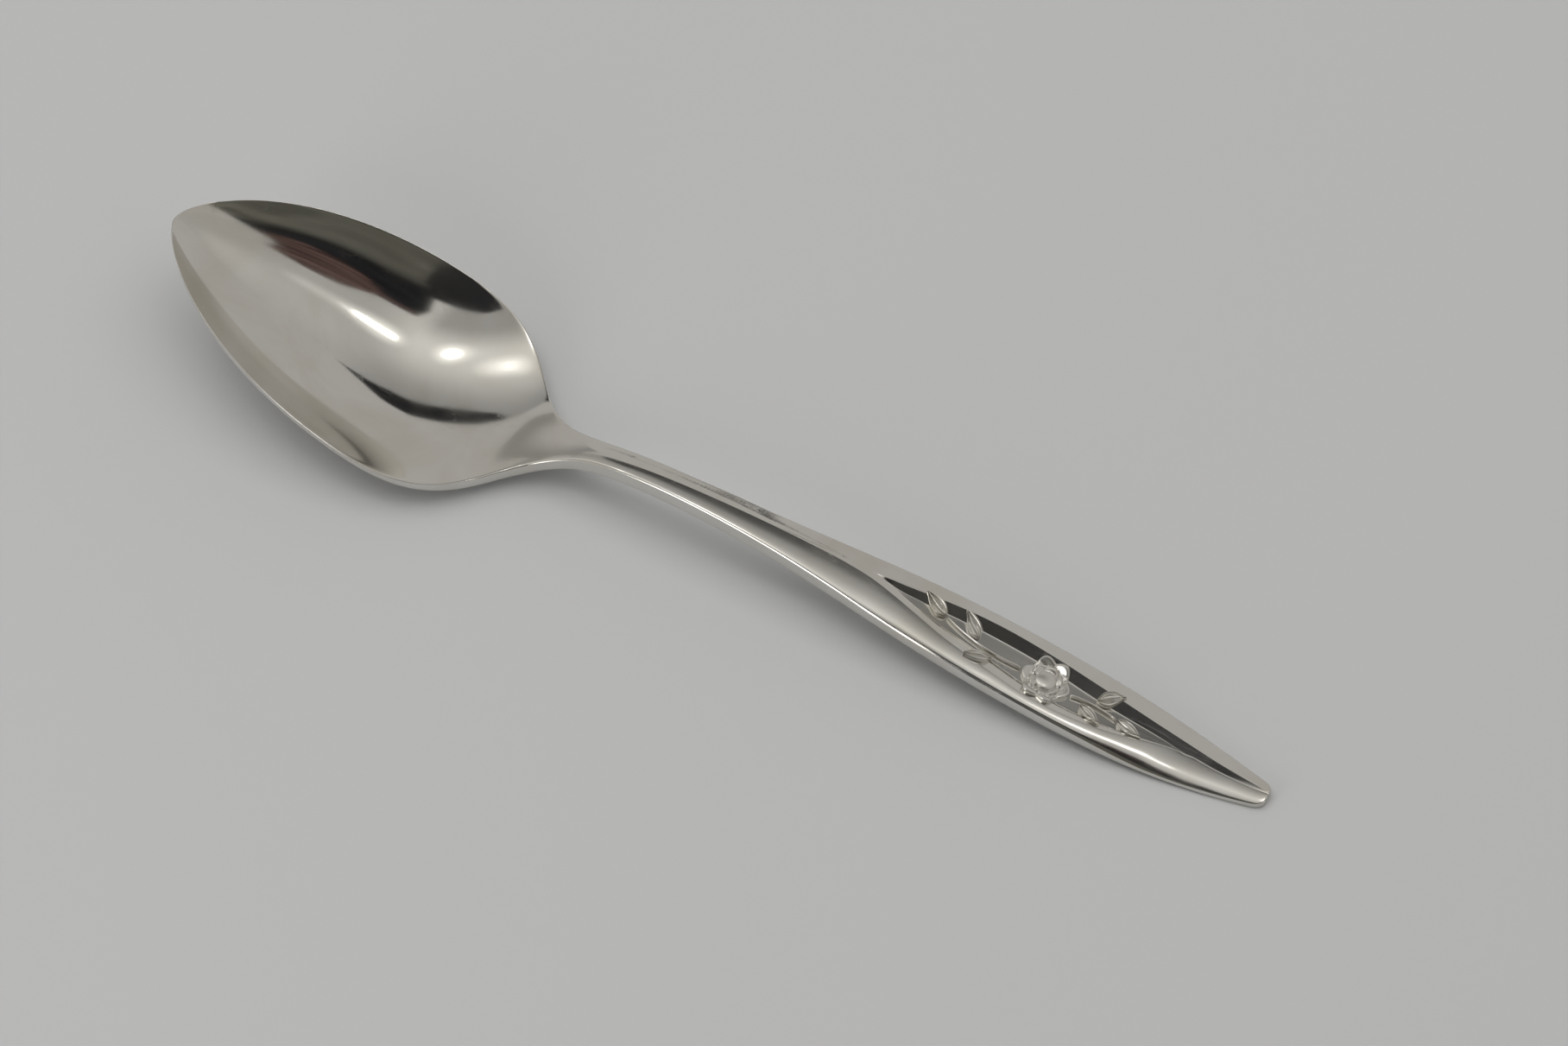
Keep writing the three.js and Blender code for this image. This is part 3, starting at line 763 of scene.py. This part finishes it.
def steel(name, bowl_gloss, handle_gloss, smudges, scratches):
    """Polished stainless steel, glossy in the bowl and softer along the handle."""
    material = bpy.data.materials.new(name)
    material.use_nodes = True
    tree = material.node_tree
    shader = tree.nodes["Principled BSDF"]
    shader.inputs["Metallic"].default_value = 1
    along = add_node(tree, "ShaderNodeSeparateXYZ", {"Vector": object_place(tree)}).outputs["X"]
    satin = map_range(tree, along, NECK_PLANE + GLOSS_FADE[0], NECK_PLANE + GLOSS_FADE[1], bowl_gloss,
                      handle_gloss, "SMOOTHSTEP")
    cloud = add_node(tree, "ShaderNodeGroup", node_tree=smudges).outputs["Mask"]
    lines = add_node(tree, "ShaderNodeGroup", node_tree=scratches).outputs["Mask"]
    film = math_node(tree, "MULTIPLY", cloud, SMUDGE_ROUGHNESS)
    worn = math_node(tree, "MULTIPLY", lines, SCRATCH_ROUGHNESS)
    rough = math_node(tree, "ADD", math_node(tree, "ADD", satin, film), worn)
    tree.links.new(rough, shader.inputs["Roughness"])
    tint = add_node(tree, "ShaderNodeMix", {0: cloud, 6: STEEL_COLOUR, 7: TARNISH_COLOUR}, data_type="RGBA")
    tree.links.new(tint.outputs[2], shader.inputs["Base Color"])
    bump = add_node(tree, "ShaderNodeBump", {"Height": lines, "Strength": SCRATCH_STRENGTH,
                                             "Distance": SCRATCH_DEPTH})
    tree.links.new(bump.outputs[0], shader.inputs["Normal"])
    return material


# Stage: table, overhead panel, cards, lamps and camera

FLOOR_SIZE = 6
FLOOR_COLOUR = (0.53, 0.538, 0.555, 1)
FLOOR_ROUGHNESS = 0.9
FLOOR_SPECULAR = 0.1
WALL_GLOW = (0.48, 0.47, 0.45, 1)

# Overhead panel; places on it are shares of its height, and glows are strengths
ROOF_HEIGHT = 0.9
ROOF_COLOUR = (1, 0.985, 0.945, 1)
ROOF_PANEL = [(-1.7, -0.75), (1.7, -0.75), (1.7, 0.68), (-1.7, 0.68)]
ROOF_NEAR_GLOW = 0.8
ROOF_FAR_GLOW = 0.33
ROOF_RIGHT_GLOW = 0.45
ROOF_CORNER_GLOW = 0.38
ROOF_BACKWARD_FADE = (-0.1, 0.65)
ROOF_RIGHT_FADE = (-0.05, 0.33)
ROOF_CORNER_LEFT_FADE = (0.14, -0.06)
ROOF_CORNER_NEAR_FADE = (-0.1, -0.48)
ROOF_PATCH_GLOW = 0.11
ROOF_PATCH_AT = (0.52, 0.34, ROOF_HEIGHT)
ROOF_PATCH_REACH = (0.05, 0.5)
HALO_GLOW = 0.5
HALO_REACH = (0.04, 0.17)
DARK_GAP = [(0.25, 0.71), (-0.1, 0.62), (-0.95, 0.6), (-1.05, 0.67), (-0.95, 0.74), (-0.7, 0.8),
            (-0.45, 0.86), (-0.1, 0.84)]
DARK_GAP_DROP = 0.002
FLAG_TOP = [(0.62, -0.6), (0.58, -0.34), (0.43, -0.25), (0.395, -0.22), (0.36, -0.33), (0.3, -0.42),
            (0.14, -0.42), (0.1, -0.5)]
FLAG_TOP_DROP = 0.003

# Upright cards in front of the spoon: across and up, in metres, each a little nearer than the one before
FLAG_DEPTH = -0.35
FRONT_FLAG = [(-0.12, 0), (-0.12, 0.53), (0.03, 0.46), (0.04, 0.65), (0.1, 0.86), (0.48, 0.86), (0.42, 0.66),
              (0.49, 0.32), (0.6, 0)]
FLAG_LINING_DEPTH = -0.3495
FLAG_LINING = [(0.45, 0.54), (0.34, 0.51), (0.27, 0.51), (0.22, 0.58), (0.21, 0.7), (0.26, 0.86),
               (0.48, 0.86), (0.42, 0.66)]
FLAG_SIDE_DEPTH = -0.349
FLAG_SIDE = [(-0.12, 0), (-0.12, 0.31), (-0.19, 0.32), (-0.19, 0.44), (-0.13, 0.47), (-0.12, 0.53),
             (0.03, 0.46), (0.05, 0.36), (0.02, 0.2), (0.03, 0)]
WINDOW_DEPTH = -0.348
WINDOW = [(-0.17, 0.02), (-0.05, 0.02), (-0.05, 0.28), (-0.17, 0.28)]
WINDOW_COLOUR = (1, 0.99, 0.97, 1)
WINDOW_GLOW = 4.0

# Dim corner behind the neck
DIM_CORNER = [(-0.92, 0.77, 0.3), (-1.14, 0.37, 0.3), (-1.14, 0.37, 0.69), (-0.92, 0.77, 0.69)]
DIM_CORNER_FADE = (0.32, 0.6)
DIM_CORNER_GLOW = 0.62

# Colours of the cards; the flag's follow its height, as a share of the roof's
BLACK_COLOUR = (0.02, 0.02, 0.021, 1)
BROWN_COLOUR = (0.105, 0.066, 0.058, 1)
FLAG_COLOURS = [(0.0, (0.14, 0.138, 0.115, 1)), (0.38, (0.115, 0.113, 0.095, 1)),
                (0.46, (0.018, 0.018, 0.019, 1)), (0.8, (0.014, 0.014, 0.016, 1)),
                (0.86, (0.075, 0.05, 0.045, 1)), (0.97, (0.06, 0.042, 0.038, 1))]

# Uneven tone of a card: stretch, fineness, darkest and lightest
FLAG_CLOUDS = ((0.6, 1, 1), 12.0, 0.7, 1.2)
BROWN_STREAKS = ((0.25, 1, 1), 26.0, 0.35, 1.3)
CLOUD_EDGE = (0.38, 0.62)

# Lamps: place and size as shares of the roof's height, turn and power
LAMPS = [("long_lamp", (0.215, 0.005), (0.18, 0.07), 0, 0.12),
         ("middle_lamp", (-0.27, -0.08), (0.12, 0.12), 0, 0.12),
         ("left_lamp", (-0.65, 0.0), (0.05, 0.12), 0.48, 0.06)]
SOFT_FILL = ("soft_fill", (0, 0.1), (1.5, 1.0), 0, 4.05)
LAMP_COLOUR = (1, 0.98, 0.93)
LAMP_DROP = 0.01

# Camera, in millimetres, degrees and pixels
CAMERA_TARGET = (6.55, 2.58, 4.06)
CAMERA_AZIMUTH = 29.4
CAMERA_ELEVATION = 56.0
CAMERA_DISTANCE = 478.9
PHOTO_WIDTH = 1816
PHOTO_FOCAL = 6000
SENSOR_WIDTH = 36.0
NEAR_CLIP = 0.01


def glow(name, colour, strength=1.0):
    material = bpy.data.materials.new(name)
    material.use_nodes = True
    tree = material.node_tree
    tree.nodes.remove(tree.nodes["Principled BSDF"])
    shine = add_node(tree, "ShaderNodeEmission", {"Color": colour, "Strength": strength})
    tree.links.new(shine.outputs[0], tree.nodes["Material Output"].inputs["Surface"])
    return material


def link_strength(material, strength):
    material.node_tree.links.new(strength, material.node_tree.nodes["Emission"].inputs["Strength"])
    return material


def mottle(material, stretch, fineness, darkest, lightest):
    """Makes a glowing card uneven, in clouds that are longer where the stretch is small."""
    tree = material.node_tree
    stretched = add_node(tree, "ShaderNodeMapping", {"Vector": object_place(tree), "Scale": stretch})
    cloud = add_node(tree, "ShaderNodeTexNoise", {"Vector": stretched.outputs[0], "Scale": fineness,
                                                  "Detail": 2.0})
    return link_strength(material, map_range(tree, cloud.outputs["Fac"], *CLOUD_EDGE, darkest, lightest))


def card(name, points, material):
    """A flat card through the given corners that lights and is mirrored, but isn't seen itself."""
    mesh = bpy.data.meshes.new(name)
    mesh.from_pydata(points, [], [list(range(len(points)))])
    sheet = bpy.data.objects.new(name, mesh)
    bpy.context.scene.collection.objects.link(sheet)
    mesh.materials.append(material)
    sheet.visible_camera = False
    return sheet


def on_roof(points, drop=0.0):
    """Corners of a level card at the roof, or a little below it."""
    return [(x * ROOF_HEIGHT, y * ROOF_HEIGHT, ROOF_HEIGHT - drop) for x, y in points]


def upright(points, depth):
    return [(x, depth, z) for x, z in points]


def roof_material():
    """The overhead panel: brightest over the spoon, dimmer at its sides, with a halo at each lamp."""
    material = glow("overhead_panel", ROOF_COLOUR)
    tree = material.node_tree
    place = object_place(tree)
    apart = add_node(tree, "ShaderNodeSeparateXYZ", {"Vector": place}).outputs

    def fade(axis, places, low=0.0, high=1.0):
        start, end = (share * ROOF_HEIGHT for share in places)
        return map_range(tree, apart[axis], start, end, low, high, "SMOOTHSTEP")

    backward = fade("Y", ROOF_BACKWARD_FADE, ROOF_NEAR_GLOW, ROOF_FAR_GLOW)
    level = add_node(tree, "ShaderNodeMix", {0: fade("X", ROOF_RIGHT_FADE), 2: backward, 3: ROOF_RIGHT_GLOW})
    corner = math_node(tree, "MULTIPLY", fade("X", ROOF_CORNER_LEFT_FADE), fade("Y", ROOF_CORNER_NEAR_FADE))
    shaded = add_node(tree, "ShaderNodeMix", {0: corner, 2: level.outputs[0], 3: ROOF_CORNER_GLOW})
    strength = shaded.outputs[0]
    lamp_centres = on_roof([centre for _, centre, *_ in LAMPS])
    patches = [(ROOF_PATCH_AT, ROOF_PATCH_REACH, ROOF_PATCH_GLOW)]
    patches += [(centre, HALO_REACH, HALO_GLOW) for centre in lamp_centres]
    for centre, reach, peak in patches:
        away = add_node(tree, "ShaderNodeVectorMath", {0: place, 1: centre}, operation="DISTANCE")
        patch = map_range(tree, away.outputs["Value"], *reach, peak, 0.0, "SMOOTHSTEP")
        strength = math_node(tree, "ADD", strength, patch)
    return link_strength(material, strength)


def flag_material():
    """The front flag: dull below, black in the middle and warm along its top."""
    material = glow("front_flag", BLACK_COLOUR)
    tree = material.node_tree
    height = add_node(tree, "ShaderNodeSeparateXYZ", {"Vector": object_place(tree)}).outputs["Z"]
    ramp = add_node(tree, "ShaderNodeValToRGB", {"Fac": map_range(tree, height, 0.0, ROOF_HEIGHT)})
    elements = ramp.color_ramp.elements
    for share, _ in FLAG_COLOURS[len(elements):]:
        elements.new(share)
    for element, (share, colour) in zip(elements, FLAG_COLOURS):
        element.position = share
        element.color = colour
    tree.links.new(ramp.outputs["Color"], tree.nodes["Emission"].inputs["Color"])
    return mottle(material, *FLAG_CLOUDS)


def corner_material():
    """The dim corner behind the neck, which fades into the wall towards the table."""
    material = glow("dim_corner", WALL_GLOW)
    tree = material.node_tree
    height = add_node(tree, "ShaderNodeSeparateXYZ", {"Vector": object_place(tree)}).outputs["Z"]
    level = map_range(tree, height, *DIM_CORNER_FADE, 1.0, DIM_CORNER_GLOW, "SMOOTHSTEP")
    return link_strength(material, level)


def lamp(name, centre, size, turn, power):
    light = bpy.data.lights.new(name, "AREA")
    light.shape = "RECTANGLE" if size[0] != size[1] else "DISK"
    light.size = size[0] * ROOF_HEIGHT
    light.size_y = size[1] * ROOF_HEIGHT
    light.energy = power
    light.color = LAMP_COLOUR
    holder = bpy.data.objects.new(name, light)
    holder.location = on_roof([centre], LAMP_DROP)[0]
    holder.rotation_euler = (0, 0, turn)
    bpy.context.scene.collection.objects.link(holder)
    return holder


def make_table():
    start_piece()
    bpy.ops.mesh.primitive_plane_add(size=FLOOR_SIZE)
    floor = bpy.context.object
    floor.name = "table_top"
    paper = bpy.data.materials.new("pale_table")
    paper.use_nodes = True
    shader = paper.node_tree.nodes["Principled BSDF"]
    shader.inputs["Base Color"].default_value = FLOOR_COLOUR
    shader.inputs["Roughness"].default_value = FLOOR_ROUGHNESS
    shader.inputs["Specular IOR Level"].default_value = FLOOR_SPECULAR
    floor.data.materials.append(paper)


def make_stage():
    make_table()
    black = glow("black_card", BLACK_COLOUR)
    brown = mottle(glow("brown_card", BROWN_COLOUR), *BROWN_STREAKS)
    bright = glow("side_window", WINDOW_COLOUR, WINDOW_GLOW)
    card("overhead_panel", on_roof(ROOF_PANEL), roof_material())
    card("dark_gap", on_roof(DARK_GAP, DARK_GAP_DROP), black)
    card("flag_top", on_roof(FLAG_TOP, FLAG_TOP_DROP), brown)
    card("front_flag", upright(FRONT_FLAG, FLAG_DEPTH), flag_material())
    card("flag_lining", upright(FLAG_LINING, FLAG_LINING_DEPTH), brown)
    card("flag_side", upright(FLAG_SIDE, FLAG_SIDE_DEPTH), black)
    card("side_window", upright(WINDOW, WINDOW_DEPTH), bright)
    card("dim_corner", DIM_CORNER, corner_material())
    for setting in LAMPS:
        lamp(*setting)
    lamp(*SOFT_FILL).visible_glossy = False
    world = bpy.data.worlds.new("studio_walls")
    world.use_nodes = True
    world.node_tree.nodes["Background"].inputs["Color"].default_value = WALL_GLOW
    bpy.context.scene.world = world


def make_camera():
    azimuth = math.radians(CAMERA_AZIMUTH)
    elevation = math.radians(CAMERA_ELEVATION)
    back = Vector((math.sin(azimuth) * math.cos(elevation), -math.cos(azimuth) * math.cos(elevation),
                   math.sin(elevation)))
    camera = bpy.data.objects.new("camera", bpy.data.cameras.new("camera"))
    camera.data.sensor_width = SENSOR_WIDTH
    camera.data.lens = SENSOR_WIDTH * PHOTO_FOCAL / PHOTO_WIDTH
    camera.location = (Vector(CAMERA_TARGET) + back * CAMERA_DISTANCE) * MM
    camera.rotation_mode = "QUATERNION"
    camera.rotation_quaternion = (-back).to_track_quat("-Z", "Y")
    camera.data.clip_start = NEAR_CLIP
    bpy.context.scene.collection.objects.link(camera)
    bpy.context.scene.camera = camera


# Putting it together

def settle(piece, material, node):
    piece.data.materials.clear()
    piece.data.materials.append(material)
    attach(piece, "root")
    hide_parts(node)


make_camera()
make_stage()
smudges = smudge_group()
scratches = scratch_group()
polished = steel("polished_steel", BOWL_GLOSS, HANDLE_GLOSS, smudges, scratches)
struck = steel("relief_steel", RELIEF_GLOSS, RELIEF_GLOSS + RELIEF_GLOSS_RISE, smudges, scratches)

body = make_body()
for side_name, keeps_front in (("bowl", True), ("handle", False)):
    settle(cut_at_neck(body, f"spoon_{side_name}", keeps_front), polished, side_name)
bpy.data.objects.remove(body)
ornament = [make_petals(), make_heart(), *(make_stem(stem) for stem in STEMS)]
ornament += [make_leaf(number + 1, *place) for number, place in enumerate(LEAF_PLACES)]
for piece in ornament:
    node = piece.name.split(".")[0]
    piece.name = f"struck_{node}"
    settle(piece, struck, node)

bpy.context.scene.view_settings.view_transform = "Standard"
